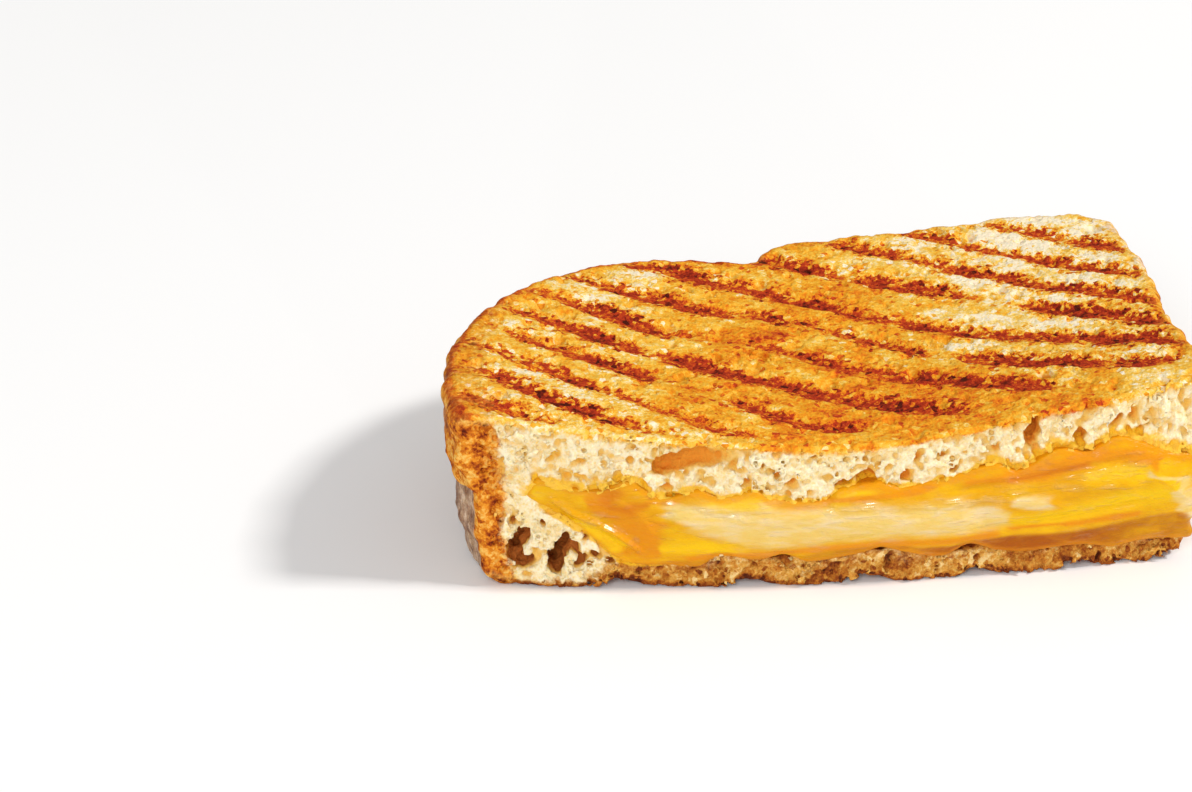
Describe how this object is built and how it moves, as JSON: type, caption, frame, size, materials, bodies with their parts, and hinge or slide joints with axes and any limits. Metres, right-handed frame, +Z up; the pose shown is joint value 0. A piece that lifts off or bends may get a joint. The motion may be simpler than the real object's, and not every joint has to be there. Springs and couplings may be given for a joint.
{
  "type": "grilled cheese sandwich half",
  "caption": "Half of a pressed grilled cheese sandwich on country bread, with melted cheese layers showing at the cut and slanting grill marks on its toasted faces.",
  "frame": {"origin": "middle of the footprint's box, on the surface that the sandwich stands on", "axes": "+X along the cut face from the domed left end to the flat right end, +Y from the cut face to the back crust, +Z up"},
  "size_m": [0.1386, 0.0874, 0.0381],
  "materials": {
    "toasted_bread_top": "golden toasted country bread with dark red-brown rib marks and a cream crumb at the cut",
    "yellow_cheese_upper": "melted orange-yellow cheese, softly glossy and slightly translucent",
    "pale_cheese": "melted pale cheese, softly glossy and slightly translucent",
    "yellow_cheese_lower": "melted amber-yellow cheese, softly glossy and slightly translucent",
    "toasted_bread_bottom": "brown toasted country bread with a rough granular edge"
  },
  "bodies": {
    "root": {"bread_top": "toasted_bread_top", "cheddar_upper": "yellow_cheese_upper", "white_cheese": "pale_cheese", "cheddar_lower": "yellow_cheese_lower", "bread_bottom": "toasted_bread_bottom"}
  },
  "joints": []
}
